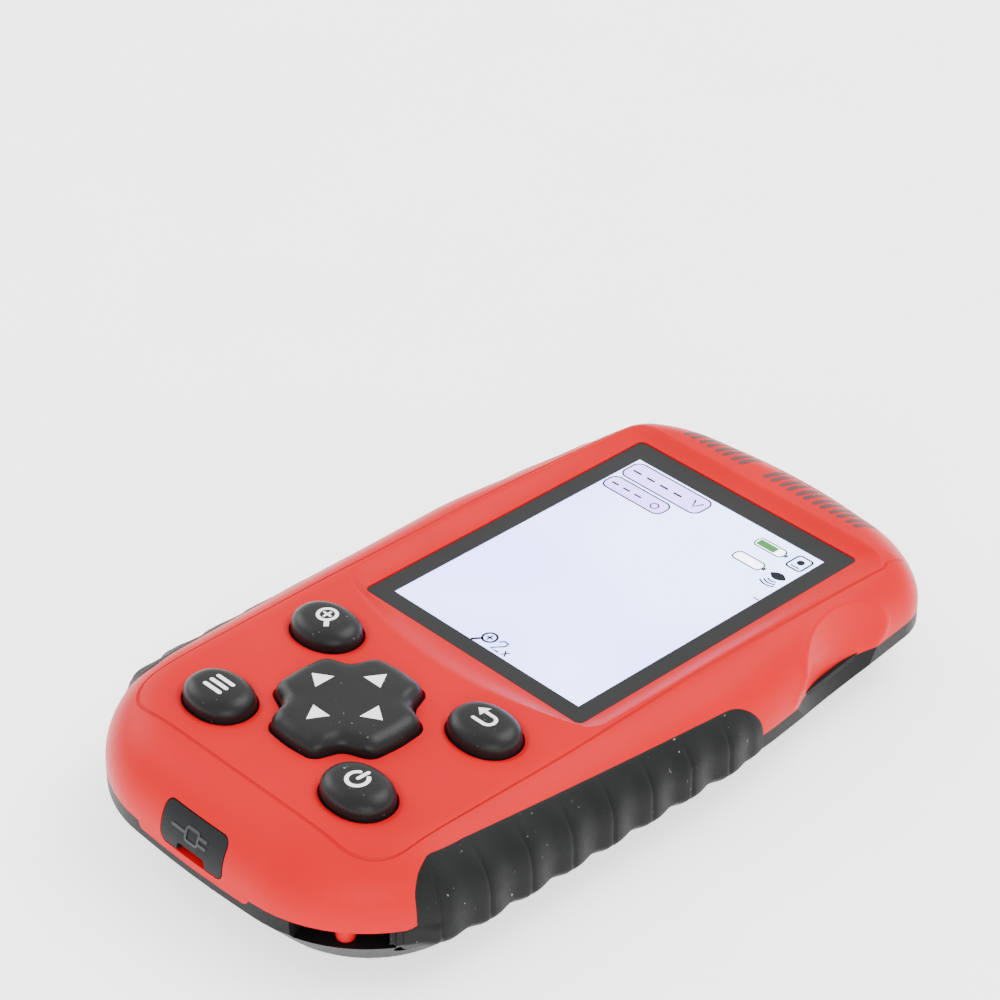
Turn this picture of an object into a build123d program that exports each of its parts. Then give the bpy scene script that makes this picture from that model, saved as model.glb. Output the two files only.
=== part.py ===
from build123d import *

import math
import os

# Handheld wireless fish finder with a 2.8 inch screen: two shells, rubber grips and keys, and what they hold.
# Frame: +X to the right of the face, +Y to the top end of the device, +Z out of the face.
# Origin: centre of the bounding box on the flat rear face.  Millimetres.
# Positions along Y below have a zero of their own; save() moves every part by LENGTH_SHIFT to the origin.

os.makedirs("parts", exist_ok=True)

# ---- driving dimensions -------------------------------------------------------------------------------
PARTING_Z = 11.5            # where the two shells meet
FACE_Z = 22.6               # flat face round the keys
KEY_TOP_Z = 26.1            # top of the key caps
WALL = 2.4                  # shell wall thickness
ROOF_Z = 20.2               # underside of the face
FLOOR_Z = 2.2               # inside of the rear face
SHOULDER = 10.2             # radius from the face down to the side wall
TAPER_Z = 8.8               # below this the rear shell leans inwards
TAPER_ANGLE = 40.0
FOOT_RADIUS = 3.0           # round edge of the rear face
KNEE_Z, ROOF_LEAN = 14.5, 42            # inside the upper shell the wall leans in above this height
LABEL_X, LABEL_Y, LABEL_CENTRE_Y, LABEL_DEPTH = 44, 62, 12.0, 0.4
CROWN_START_Y = 50.0        # from here the face falls away towards the top end
CROWN_RADIUS = 90.0

# Half of the plan outline: corner points and the radius that rounds each one, from top to bottom.
TOP_POINT, TOP_RADIUS = (0, 69.9), 88
SIDE_POINTS = [(24.8, 66.4), (34.1, 59.2), (38.9, 15.1), (37.3, -69.5)]
SIDE_RADII = [24, 11.2, 60, 25]
BOTTOM_POINT, BOTTOM_RADIUS = (0, -71.3), 200
LENGTH_SHIFT = 1.02         # moves the finished parts along Y, so that the origin is the middle of the length
CORNER_CENTRE = (12.75, -45.65)          # centre of the round bottom right corner
CORNER_RADIUS = SIDE_RADII[-1]

DISPLAY_CENTRE_Y = 19.1                 # 2.8 inch screen, lit area 43.2 x 57.6
GLASS_X, GLASS_Y = 48.2, 62.0           # front glass of the display
MODULE_X, MODULE_Y = 49.6, 67.2         # whole display module
MODULE_CENTRE_Y = 17.9
GLASS_TOP_Z, GLASS_STEP_Z, GLASS_LOW_Z = 19.6, 19.0, 18.4
WINDOW_X, WINDOW_Y = 50.6, 65.3         # opening in the face for the display window
WINDOW_CENTRE_Y = 19.55
WINDOW_TOP_Z, WINDOW_LOW_Z = 20.7, 19.9
GASKET_THICK = 0.2
LEDGE_LOW_Z = 19.15
DISH_TOP, DISH_SIDE, DISH_CORNER, DISH_SMILE = 55.4, 29.6, -13.6, -20.4

BOARD_TOP_Z, BOARD_LOW_Z = 14.3, 12.7
BOARD_HALF_X = 25.8
BOARD_TOP_Y, BOARD_NECK_Y, BOARD_BOTTOM_Y = 58.0, -56.5, -63.0

KEY_X, KEY_Y = 13.0, 10.0               # oval key caps
KEY_GAP = 0.3
KEY_TRAVEL = 0.8
KEY_FLANGE = 1.1
KEY_EDGE = 2.4                          # round top edge of a key cap
KEY_PLACES = {
    "zoom_key": (-18.5, -27.0),
    "escape_key": (18.5, -27.0),
    "menu_key": (-16.3, -51.1),
    "power_key": (16.3, -51.1),
}
DPAD_Y = -38.9                          # centre of the four-way pad
DPAD_REACH = 11.6                       # from its centre to the flat of each lobe
DPAD_LOBE, DPAD_DIP = 5.6, 7.2          # half width of a lobe, and the hollow between two lobes
DPAD_GAP = 0.45
DPAD_FLANGE = 1.1
DPAD_EDGE = 1.8
DPAD_LOW_Z, DPAD_FLANGE_Z = 18.4, 19.1  # underside of the pad, and top of its flange
DPAD_PIVOT_Z = 18.15                    # the pad rocks about this height
DOME_Z = BOARD_TOP_Z + 0.7              # top of the snap domes
DOME_REACH = 8.8                        # from the pad's centre to each outer dome
MAT_LOW_Z, MAT_HIGH_Z = 16.6, 17.2

PORT_Z = 15.7                           # centre of the charging port
PORT_X, PORT_HIGH = 8.6, 3.7            # its opening in the wall
COVER_LOW_Z, COVER_HIGH_Z = 11.9, 18.7  # bottom and top edge of its rubber cover
COVER_X, COVER_THICK = 14.4, 1.5
COVER_GAP = 0.2
COVER_HINGE_Y = -68.8                   # the cover swings about its outer top edge
PLUG_X, PLUG_Z, PLUG_START_Y, PLUG_END_Y = 6.2, 1.6, -70.0, -68.0
NOTCH_X, NOTCH_Z = 6.6, 1.5             # finger notch in the cover's lower edge

LANYARD_ANGLE = -52.0                   # direction of the lanyard post from the corner's centre
LANYARD_SPREAD = 19.0                   # half angle of the lanyard gap
LANYARD_LOW_Z = 7.6
LANYARD_DEPTH = 6.6
LANYARD_POST = 2.2
LANYARD_LAND = 2.0                      # solid left behind the gap
SEAL_IN, SEAL_OUT = 0.3, 1.1            # the seal's two edges, out from the cavity wall
SEAL_DEPTH, SEAL_RISE = 0.7, 0.3        # below and above the parting line

SCOOP_Y, SCOOP_RADIUS, SCOOP_TILT = 38.0, 30.0, 15.0    # thumb hollow in each side
SCOOP_X = 34.4                          # how far in it reaches at the parting line
SCOOP_WALL = 1.8

GRIP_TOP_Y, GRIP_BOTTOM_Y = 15.0, -58.5
GRIP_LOW_Z, GRIP_HIGH_Z = 4.8, 20.8
GRIP_PROUD = 1.2                        # how far the grips stand out from the shells
GRIP_DEPTH = 1.1                        # and how far they are let in

CASE_SCREWS = [(x * side, y) for x, y in ((28.9, 44.0), (28.9, -14.0), (15.5, -60.2)) for side in (-1, 1)]
CASE_BOSS, CASE_SOCKET = 2.7, 3.4       # radius of the upper and the lower screw pillars
CASE_HEAD, CASE_SHAFT = 2.3, 1.1
CASE_HEAD_HEIGHT = 1.7
SEAT_Z, CASE_TIP_Z = 5.4, 17.0          # under the screw heads, and at the screws' tips
BOARD_SCREWS = [(x * side, y) for x, y in ((20.0, 55.2), (22.0, -18.9), (9.2, -60.3)) for side in (-1, 1)]
BOARD_BOSS, BOARD_HEAD, BOARD_SHAFT = 1.9, 1.8, 0.8
BOARD_TIP_Z = 18.0
BOSS_TOP_Z = ROOF_Z + 0.4
SCREW_GAP = 0.05

# Chips under the board: centre, width, length and height.
CHIPS = [(8, 2, 10, 10, 1.1), (-12, 6, 8, 8, 0.9), (10, 22, 6, 5, 1.0), (-10, 28, 5, 6, 1.0),
         (18, 34, 4, 4, 0.8), (20, -30, 5, 4, 1.0), (-20, -34, 4, 3, 0.8), (4, -30, 3, 5, 1.0)]
BUZZER_X, BUZZER_Y, BUZZER_RADIUS, BUZZER_HEIGHT = 10, -46, 6, 3.2

BATTERY_X, BATTERY_Y = 34.0, 50.0
BATTERY_CENTRE_Y = 22.0
BATTERY_LOW_Z, BATTERY_HIGH_Z = 3.0, 10.4
LEAD_RADIUS = 0.8
LEAD_ROUTE = [(-6.0, -3.0, 7.0), (-6.0, -9.0, 7.0), (-13.0, -14.5, 10.9), (-13.0, -20.3, 10.9)]


# ---- helpers ------------------------------------------------------------------------------------------
def slab(sketch, low, high):
    """A straight prism of a flat sketch between two heights."""
    return extrude(Pos(0, 0, low) * sketch, amount=high - low, dir=(0, 0, 1))


def block(x, y, low, high, x_size, y_size):
    """A box centred on x, y between two heights."""
    return Pos(x, y, (low + high) / 2) * Box(x_size, y_size, high - low)


def post(x, y, low, high, radius):
    """A round pillar between two heights."""
    return Pos(x, y, (low + high) / 2) * Cylinder(radius, high - low)


def plate(x, y, x_size, y_size, radius):
    """A flat rounded rectangle centred on x, y."""
    return Pos(x, y) * RectangleRounded(x_size, y_size, radius)


def mirrored_x(solid):
    return mirror(solid, about=Plane.YZ)


def inset(face, amount):
    return offset(face, amount=-amount, kind=Kind.INTERSECTION)


def corner_point(angle, radius):
    """A point by direction and distance from the centre of the lanyard corner."""
    turn = math.radians(angle)
    return (CORNER_CENTRE[0] + radius * math.cos(turn), CORNER_CENTRE[1] + radius * math.sin(turn))


def save(name, solid):
    solid = Pos(0, LENGTH_SHIFT, 0) * solid
    solid.label = name
    export_step(solid, f"parts/{name}.step")
    print(name, round(solid.volume, 1))


# ---- housing blanks -----------------------------------------------------------------------------------
def outline(margin):
    """The plan outline of both shells, drawn in by a margin."""
    left = [(-x, y) for x, y in reversed(SIDE_POINTS)]
    points = [TOP_POINT] + SIDE_POINTS + [BOTTOM_POINT] + left
    radii = [TOP_RADIUS] + SIDE_RADII + [BOTTOM_RADIUS] + SIDE_RADII[::-1]
    face = make_face(FilletPolyline(*points, radius=radii, close=True))
    return inset(face, margin) if margin else face


def front_blank():
    """Upper block: upright walls, round shoulders, and a face that falls away at the top end."""
    body = slab(outline(0), PARTING_Z, FACE_Z)
    crown_axis = Pos(0, CROWN_START_Y, FACE_Z - CROWN_RADIUS) * Rot(0, 90, 0)
    flat = Pos(0, CROWN_START_Y - 100, 0) * Box(120, 200, 2 * FACE_Z)
    body = body & (crown_axis * Cylinder(CROWN_RADIUS, 120) + flat)
    lowest_rim = FACE_Z - 3.5
    seam = body.edges().filter_by(Axis.X).sort_by(Axis.Z)[-1]
    rim = [edge for edge in body.edges() if edge.center().Z > lowest_rim and edge != seam]
    return fillet(rim, SHOULDER)


def front_cavity():
    """Room inside the upper shell, leaning in under the shoulders."""
    lean = extrude(Pos(0, 0, KNEE_Z) * outline(WALL), amount=ROOF_Z - KNEE_Z, taper=ROOF_LEAN, dir=(0, 0, 1))
    return slab(outline(WALL), PARTING_Z - 1, KNEE_Z) + lean


def rear_blank():
    """Lower block: upright at the parting line, then leaning in to the flat rear face."""
    lean = extrude(Pos(0, 0, TAPER_Z) * outline(0), amount=TAPER_Z, taper=TAPER_ANGLE, dir=(0, 0, -1))
    body = slab(outline(0), TAPER_Z, PARTING_Z) + lean
    foot = [edge for edge in body.edges() if abs(edge.center().Z) < 0.01]
    return fillet(foot, FOOT_RADIUS)


def rear_cavity():
    """Room inside the lower shell."""
    depth = TAPER_Z - FLOOR_Z
    lean = extrude(Pos(0, 0, TAPER_Z) * outline(WALL), amount=depth, taper=TAPER_ANGLE, dir=(0, 0, -1))
    return slab(outline(WALL), TAPER_Z, PARTING_Z + 1) + lean


def lanyard_sector(inner_radius, spread):
    """Flat wedge of the round corner, from an inner radius to well outside the wall."""
    outside = CORNER_RADIUS + 8
    angles = (LANYARD_ANGLE - spread, LANYARD_ANGLE, LANYARD_ANGLE + spread)
    points = [corner_point(angles[0], inner_radius)]
    points += [corner_point(angle, outside) for angle in angles]
    points += [corner_point(angles[2], inner_radius)]
    return make_face(Polyline(*points, close=True))


def scoops(deeper):
    """Thumb hollows: two big leaning cylinders that bite into the sides."""
    right = Pos(SCOOP_X - deeper, SCOOP_Y, PARTING_Z) * Rot(0, -SCOOP_TILT, 0)
    right = right * Pos(SCOOP_RADIUS, 0, 0) * Cylinder(SCOOP_RADIUS, 60)
    return right + mirrored_x(right)


def lanyard_land():
    """Where the corner stays solid round the lanyard gap."""
    return lanyard_sector(CORNER_RADIUS - LANYARD_DEPTH - LANYARD_LAND, LANYARD_SPREAD + 6)


def seal_ring():
    """Cord seal between the shells, running inside the lanyard gap."""
    hollow = outline(WALL) - lanyard_land()
    ring = inset(hollow, -SEAL_OUT) - inset(hollow, -SEAL_IN)
    return slab(ring, PARTING_Z - SEAL_DEPTH, PARTING_Z + SEAL_RISE)


def hinge_room():
    """Room behind the port cover's top edge, which swings in as the cover opens."""
    axis = Pos(0, COVER_HINGE_Y, COVER_HIGH_Z) * Rot(0, 90, 0)
    return (axis * Cylinder(COVER_THICK + 0.3, 2 * COVER_X)) & cover_prism(COVER_GAP)


# ---- controls -----------------------------------------------------------------------------------------
def clover(grow):
    """Outline of the four-way pad: four lobes with a shallow hollow between each two."""
    points = []
    radii = []
    corners = [(DPAD_REACH, -DPAD_LOBE, 2.6), (DPAD_REACH + 0.4, 0, 20)]
    corners += [(DPAD_REACH, DPAD_LOBE, 2.6), (DPAD_DIP, DPAD_DIP, 3.5)]
    for turn in range(4):
        for x, y, radius in corners:
            for _ in range(turn):
                x, y = -y, x
            points.append((x, y + DPAD_Y))
            radii.append(radius)
    shape = make_face(FilletPolyline(*points, radius=radii, close=True))
    return inset(shape, -grow) if grow else shape


def oval(x, y, grow):
    return Pos(x, y) * Ellipse(KEY_X / 2 + grow, KEY_Y / 2 + grow)


def dome_places():
    """Centres of the snap domes: one for each key and five under the pad."""
    places = list(KEY_PLACES.values()) + [(0, DPAD_Y)]
    places += [(DOME_REACH * x, DPAD_Y + DOME_REACH * y) for x, y in ((1, 0), (0, 1), (-1, 0), (0, -1))]
    return places


def key(x, y):
    """Rubber key: domed oval cap, retaining flange under the face and a stem over its snap dome."""
    flange_high = ROOF_Z - 0.1
    flange_low = flange_high - 0.9
    cap = slab(oval(x, y, 0), flange_low, KEY_TOP_Z)
    cap = fillet(cap.edges().sort_by(Axis.Z)[-1], KEY_EDGE)
    cap += slab(oval(x, y, KEY_FLANGE), flange_low, flange_high)
    return cap + post(x, y, DOME_Z + KEY_TRAVEL + 0.1, flange_low, 2.2)


def dpad_cap():
    """Four-way pad: clover cap with a flange and four plungers."""
    cap = slab(clover(0), DPAD_LOW_Z, KEY_TOP_Z + 0.1)
    cap = fillet(cap.edges().group_by(Axis.Z)[-1], DPAD_EDGE)
    cap += slab(clover(DPAD_FLANGE), DPAD_LOW_Z, DPAD_FLANGE_Z)
    for x, y in dome_places()[5:]:
        cap += post(x, y, DOME_Z + 0.7, DPAD_LOW_Z, 1.3)
    return cap


def dpad_core():
    """Disc that the pad rocks on, with a middle stem over the centre dome."""
    disc_low = DPAD_PIVOT_Z - 1.3
    return post(0, DPAD_Y, disc_low, DPAD_PIVOT_Z, 3.4) + post(0, DPAD_Y, DOME_Z + 0.25, disc_low, 2.2)


def snap_domes():
    """Metal snap domes on the board."""
    step = BOARD_TOP_Z + 0.3
    return Compound([post(x, y, BOARD_TOP_Z, step, 2.5) + post(x, y, step, DOME_Z, 1.5)
                     for x, y in dome_places()])


def keypad_mat():
    """Silicone sheet round the key stems, standing on a rim that keeps water off the board."""
    low_y, high_y = -57.0, -21.4
    middle_y, size_y = (low_y + high_y) / 2, high_y - low_y
    size_x = 2 * BOARD_HALF_X - 1.0
    sheet = plate(0, middle_y, size_x, size_y, 6)
    mat = slab(sheet, MAT_LOW_Z, MAT_HIGH_Z)
    mat += slab(sheet - plate(0, middle_y, size_x - 1.6, size_y - 1.6, 5.2), BOARD_TOP_Z, MAT_LOW_Z)
    for x, y in KEY_PLACES.values():
        mat -= post(x, y, MAT_LOW_Z - 1, MAT_HIGH_Z + 1, 2.6)
    return mat - post(0, DPAD_Y, MAT_LOW_Z - 1, MAT_HIGH_Z + 1, 11.0)


# ---- charging port ------------------------------------------------------------------------------------
def port_prism(x_size, z_size, z, radius, y_low, y_high):
    """Rounded rectangular prism through the bottom wall."""
    face = RectangleRounded(x_size, z_size, radius)
    sketch = Plane(origin=(0, y_low, z), x_dir=(1, 0, 0), z_dir=(0, 1, 0)) * face
    return extrude(sketch, amount=y_high - y_low, dir=(0, 1, 0))


def cover_prism(grow):
    height = COVER_HIGH_Z - COVER_LOW_Z
    middle = (COVER_HIGH_Z + COVER_LOW_Z) / 2
    return port_prism(COVER_X + 2 * grow, height + 2 * grow, middle, 1.2 + grow, -75, -60)


def usb_cover(skin):
    """Rubber port cover, flush with the shell, with a finger notch and a short plug."""
    flap = (cover_prism(0) & skin) - Pos(0, COVER_THICK, 0) * skin
    flap -= port_prism(NOTCH_X, 2 * NOTCH_Z, COVER_LOW_Z, 0.9, -75, -60)
    return flap + port_prism(PLUG_X, PLUG_Z, PORT_Z, 0.7, PLUG_START_Y, PLUG_END_Y)


def usb_socket():
    """Micro-USB socket: hollow metal case with a tongue, on the board's lower edge."""
    front, back = BOARD_BOTTOM_Y - 3.0, BOARD_BOTTOM_Y + 2.6
    case = port_prism(7.6, 2.8, PORT_Z, 0.9, front, back)
    case -= port_prism(6.9, 2.1, PORT_Z, 0.7, front - 1, back - 0.8)
    return case + port_prism(3.8, 0.5, PORT_Z + 0.3, 0.1, front + 0.6, back - 0.7)


# ---- grips --------------------------------------------------------------------------------------------
def grip_prism(margin):
    """Side view outline of the right grip as a prism out through the wall."""
    top, bottom, low, high = GRIP_TOP_Y, GRIP_BOTTOM_Y, GRIP_LOW_Z, GRIP_HIGH_Z
    points = [(top, 10.0), (top - 4, high - 2.6), (bottom + 16, high), (bottom, high - 4)]
    points += [(bottom, low), (top - 2, low)]
    face = make_face(FilletPolyline(*points, radius=[3, 7, 14, 6, 2.5, 2.5], close=True))
    face = inset(face, margin) if margin else face
    sketch = Plane(origin=(30, 0, 0), x_dir=(0, 1, 0), z_dir=(1, 0, 0)) * face
    return extrude(sketch, amount=20, dir=(1, 0, 0))


# ---- assembly -----------------------------------------------------------------------------------------
parts = {}

front_skin = front_blank() - scoops(0)
rear_skin = rear_blank() - scoops(0)
scoop_walls = scoops(SCOOP_WALL)
whole_skin = front_skin + rear_skin
corner_block = slab(lanyard_land(), 0, FACE_Z)
gap_face = lanyard_sector(CORNER_RADIUS - LANYARD_DEPTH, LANYARD_SPREAD)
post_place = corner_point(LANYARD_ANGLE, CORNER_RADIUS - LANYARD_POST - 0.5)
seal = seal_ring()

# Pockets for the grips: what lies outside a skin moved inwards.
grip_floor = Pos(-GRIP_DEPTH, 0, -0.3) * whole_skin
grip_pocket = grip_prism(0) - grip_floor
grip_pockets = grip_pocket + mirrored_x(grip_pocket)

# Front shell.
front_shell = front_skin - (front_cavity() - corner_block - scoop_walls)
front_shell += slab(plate(0, WINDOW_CENTRE_Y, 56, 71, 2), LEDGE_LOW_Z, ROOF_Z + 0.2)
front_shell += Compound([post(x, y, PARTING_Z, BOSS_TOP_Z, CASE_BOSS) for x, y in CASE_SCREWS])
front_shell += Compound([post(x, y, BOARD_TOP_Z, BOSS_TOP_Z, BOARD_BOSS) for x, y in BOARD_SCREWS])
for x, y in CASE_SCREWS:
    front_shell -= post(x, y, PARTING_Z, CASE_TIP_Z + 0.5, CASE_SHAFT + SCREW_GAP)
for x, y in BOARD_SCREWS:
    front_shell -= post(x, y, BOARD_TOP_Z, BOARD_TIP_Z + 0.5, BOARD_SHAFT + SCREW_GAP)
dish_rim = Polyline((DISH_SIDE, DISH_CORNER), (DISH_SIDE, DISH_TOP), (-DISH_SIDE, DISH_TOP),
                    (-DISH_SIDE, DISH_CORNER))
dish_smile = ThreePointArc((-DISH_SIDE, DISH_CORNER), (0, DISH_SMILE), (DISH_SIDE, DISH_CORNER))
dish_face = Pos(0, 0, FACE_Z) * make_face(dish_rim + dish_smile)
front_shell -= extrude(dish_face, amount=FACE_Z - WINDOW_TOP_Z, taper=58, dir=(0, 0, -1))
window_seat_z = WINDOW_LOW_Z - GASKET_THICK
front_shell -= slab(plate(0, WINDOW_CENTRE_Y, WINDOW_X, WINDOW_Y, 1.5), window_seat_z, FACE_Z + 1)
front_shell -= slab(plate(0, WINDOW_CENTRE_Y, WINDOW_X - 1.8, WINDOW_Y - 1.9, 1), LEDGE_LOW_Z - 1, FACE_Z)
for x, y in KEY_PLACES.values():
    front_shell -= slab(oval(x, y, KEY_GAP), ROOF_Z - 1, FACE_Z + 1)
front_shell -= slab(clover(DPAD_GAP), ROOF_Z - 1, FACE_Z + 1)
front_shell -= cover_prism(COVER_GAP) - Pos(0, COVER_THICK + 0.1, 0) * front_skin
front_shell -= hinge_room()
front_shell -= port_prism(PORT_X, PORT_HIGH, PORT_Z, 1.0, -72, -60)
front_shell -= grip_pockets
front_shell -= seal
front_shell += Pos(*post_place, (LANYARD_LOW_Z + PARTING_Z + 0.4) / 2) * Cone(
    LANYARD_POST - 0.3, LANYARD_POST, PARTING_Z + 0.4 - LANYARD_LOW_Z)
parts["front_shell"] = front_shell

# Rear shell.
rear_shell = rear_skin - (rear_cavity() - corner_block - scoop_walls)
for x, y in CASE_SCREWS:
    rear_shell += post(x, y, 1.0, PARTING_Z, CASE_SOCKET) & rear_skin
    rear_shell -= post(x, y, -1, SEAT_Z, CASE_HEAD + 0.15)
    rear_shell -= post(x, y, 0, PARTING_Z + 1, CASE_SHAFT + SCREW_GAP)
rear_shell -= slab(gap_face, LANYARD_LOW_Z, PARTING_Z + 1)
rear_shell -= slab(plate(0, LABEL_CENTRE_Y, LABEL_X, LABEL_Y, 3), -1, LABEL_DEPTH)
rear_shell -= grip_pockets
rear_shell -= seal
parts["rear_shell"] = rear_shell

parts["housing_seal"] = seal
parts["usb_cover"] = usb_cover(front_skin)

# Rubber grips.
grip = grip_prism(0.1) & (Pos(GRIP_PROUD, 0, 0.2) * whole_skin)
grip -= grip_floor
parts["right_grip"] = grip
parts["left_grip"] = mirrored_x(grip)

# Display.
window_face = plate(0, WINDOW_CENTRE_Y, WINDOW_X - 0.3, WINDOW_Y - 0.3, 1.4)
window_hole = plate(0, WINDOW_CENTRE_Y, WINDOW_X - 1.8, WINDOW_Y - 1.9, 1)
parts["display_window"] = slab(window_face, WINDOW_LOW_Z, WINDOW_TOP_Z)
parts["window_gasket"] = slab(window_face - window_hole, WINDOW_LOW_Z - GASKET_THICK, WINDOW_LOW_Z)
parts["lcd_glass"] = slab(plate(0, DISPLAY_CENTRE_Y, GLASS_X, GLASS_Y, 0.4), GLASS_STEP_Z, GLASS_TOP_Z)
parts["lcd_glass"] += slab(plate(0, MODULE_CENTRE_Y, MODULE_X, MODULE_Y, 0.4), GLASS_LOW_Z, GLASS_STEP_Z)
backlight_face = plate(0, MODULE_CENTRE_Y, MODULE_X, MODULE_Y, 1)
parts["lcd_backlight"] = slab(backlight_face, BOARD_TOP_Z + 1.6, GLASS_LOW_Z)
frame_face = plate(0, MODULE_CENTRE_Y, MODULE_X + 2.0, MODULE_Y + 1.6, 1.2)
lcd_frame = slab(frame_face - plate(0, MODULE_CENTRE_Y, MODULE_X + 0.1, MODULE_Y + 0.1, 0.4), BOARD_TOP_Z,
                 GLASS_STEP_Z)
lcd_frame += slab(frame_face, BOARD_TOP_Z, BOARD_TOP_Z + 1.6)
lcd_frame -= block(0, MODULE_CENTRE_Y - MODULE_Y / 2, BOARD_TOP_Z + 1.6, 20, 20, 4)
parts["lcd_frame"] = lcd_frame
flex_z = GLASS_STEP_Z + 0.06
flex_route = FilletPolyline((-13.6, flex_z), (-17.6, flex_z), (-17.6, 15.2), (-20.0, 15.2), radius=[1.0, 1.0])
flex_profile = Plane(origin=(-9, 0, 0), x_dir=(0, 1, 0), z_dir=(1, 0, 0)) * trace(flex_route, line_width=0.11)
parts["lcd_flex"] = extrude(flex_profile, amount=18, dir=(1, 0, 0))
flex_slot = block(0, -18.9, 15.1, 15.35, 18.2, 2.4)
parts["flex_connector"] = block(0, -19.6, BOARD_TOP_Z, 15.8, 21, 2.6) - flex_slot

# Keys.
for name, (x, y) in KEY_PLACES.items():
    parts[name] = key(x, y)
parts["dpad_cap"] = dpad_cap()
parts["dpad_core"] = dpad_core()
parts["snap_domes"] = snap_domes()
parts["keypad_mat"] = keypad_mat()

# Board and what it carries.
half, neck, foot = BOARD_HALF_X, 12.0, BOARD_BOTTOM_Y
board_points = [(half, BOARD_TOP_Y), (half, BOARD_NECK_Y + 8), (half - 8, BOARD_NECK_Y)]
board_points += [(neck, BOARD_NECK_Y), (neck, foot)]
board_points += [(-x, y) for x, y in reversed(board_points)]
board = slab(make_face(Polyline(*board_points, close=True)), BOARD_LOW_Z, BOARD_TOP_Z)
for x, y in BOARD_SCREWS:
    board -= post(x, y, BOARD_LOW_Z - 1, BOARD_TOP_Z + 1, BOARD_SHAFT + 0.15)
parts["main_board"] = board
parts["board_chips"] = Compound([block(x, y, BOARD_LOW_Z - height, BOARD_LOW_Z, size_x, size_y)
                                 for x, y, size_x, size_y, height in CHIPS])
parts["radio_module"] = block(-10.5, 53.0, BOARD_LOW_Z - 2.0, BOARD_LOW_Z, 13, 9)
antenna = Pos(0, 62.0, 10.6) * Rot(0, 90, 0) * Cylinder(1.5, 26)
antenna += Pos(-10.5, 60.0, 11.6) * Rot(90, 0, 0) * Cylinder(0.5, 4.8)
parts["antenna"] = antenna
buzzer_low = BOARD_LOW_Z - BUZZER_HEIGHT
buzzer_hole = post(BUZZER_X, BUZZER_Y, buzzer_low - 1, buzzer_low + 0.5, 1)
parts["buzzer"] = post(BUZZER_X, BUZZER_Y, buzzer_low, BOARD_LOW_Z, BUZZER_RADIUS) - buzzer_hole
parts["usb_socket"] = usb_socket()

# Power.
battery_face = plate(0, BATTERY_CENTRE_Y, BATTERY_X, BATTERY_Y, 3)
cell = slab(battery_face, BATTERY_LOW_Z, BATTERY_HIGH_Z)
parts["battery_cell"] = fillet(cell.edges().group_by(Axis.Z)[-1], 1.2)
pad_face = plate(0, BATTERY_CENTRE_Y, BATTERY_X - 4, BATTERY_Y - 4, 2)
parts["battery_pad"] = slab(pad_face, FLOOR_Z, BATTERY_LOW_Z)
lead_end = LEAD_ROUTE[-1]
parts["battery_connector"] = block(lead_end[0], lead_end[1] - 2.6, 9.1, BOARD_LOW_Z, 6.0, 5.2)
lead_corners = []
for before, here, after in zip(LEAD_ROUTE, LEAD_ROUTE[1:], LEAD_ROUTE[2:]):
    run_in, run_out = Vector(*here) - Vector(*before), Vector(*after) - Vector(*here)
    half_turn = math.radians(run_in.get_angle(run_out)) / 2
    lead_corners.append(0.45 * min(run_in.length, run_out.length) / math.tan(half_turn))
print("battery lead radii", [round(radius, 2) for radius in lead_corners])
lead_path = FilletPolyline(*LEAD_ROUTE, radius=lead_corners)
lead_start = Plane(origin=lead_path @ 0, z_dir=lead_path % 0)
parts["battery_lead"] = sweep(lead_start * Circle(LEAD_RADIUS), path=lead_path)
lead_wanted = math.pi * LEAD_RADIUS ** 2 * lead_path.length
print("battery lead volume", round(parts["battery_lead"].volume, 3), "wanted", round(lead_wanted, 3))

# Fasteners, each set in one group.
case_screws = []
for x, y in CASE_SCREWS:
    screw = post(x, y, SEAT_Z - CASE_HEAD_HEIGHT, SEAT_Z, CASE_HEAD)
    screw += post(x, y, SEAT_Z, CASE_TIP_Z, CASE_SHAFT)
    screw -= block(x, y, 0, SEAT_Z - 0.9, 2.8, 0.7)
    screw -= block(x, y, 0, SEAT_Z - 0.9, 0.7, 2.8)
    case_screws.append(screw)
parts["case_screws"] = Compound(case_screws)
board_screws = []
for x, y in BOARD_SCREWS:
    screw = post(x, y, BOARD_LOW_Z - 1.2, BOARD_LOW_Z, BOARD_HEAD)
    screw += post(x, y, BOARD_LOW_Z, BOARD_TIP_Z, BOARD_SHAFT)
    board_screws.append(screw)
parts["board_screws"] = Compound(board_screws)

for name, solid in parts.items():
    save(name, solid)
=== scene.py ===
import math

import bmesh
import bpy
import numpy as np
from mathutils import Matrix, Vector


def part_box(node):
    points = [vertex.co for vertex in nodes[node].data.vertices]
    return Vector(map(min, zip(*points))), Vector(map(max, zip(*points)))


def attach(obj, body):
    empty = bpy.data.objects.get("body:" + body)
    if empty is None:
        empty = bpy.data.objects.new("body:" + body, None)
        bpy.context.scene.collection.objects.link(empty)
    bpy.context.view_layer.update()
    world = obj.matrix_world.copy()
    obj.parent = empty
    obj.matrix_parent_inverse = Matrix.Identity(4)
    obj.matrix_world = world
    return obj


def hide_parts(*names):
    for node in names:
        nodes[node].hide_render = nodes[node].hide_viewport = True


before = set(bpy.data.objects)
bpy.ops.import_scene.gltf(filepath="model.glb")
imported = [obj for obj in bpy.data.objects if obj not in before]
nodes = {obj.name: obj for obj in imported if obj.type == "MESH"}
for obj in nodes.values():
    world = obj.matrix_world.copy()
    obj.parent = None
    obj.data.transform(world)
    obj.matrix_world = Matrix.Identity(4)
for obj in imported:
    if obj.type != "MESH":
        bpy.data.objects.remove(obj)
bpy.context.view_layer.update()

# The visible outside of the fish finder. Lengths are in millimetres until a mesh is made, in the row frame.
MM = 0.001
FACE_Z, PARTING_Z, TAPER_Z, TAPER = 22.6, 11.5, 8.8, math.radians(40)
SHOULDER = 10.2                     # radius from the face down to the side wall
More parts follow.
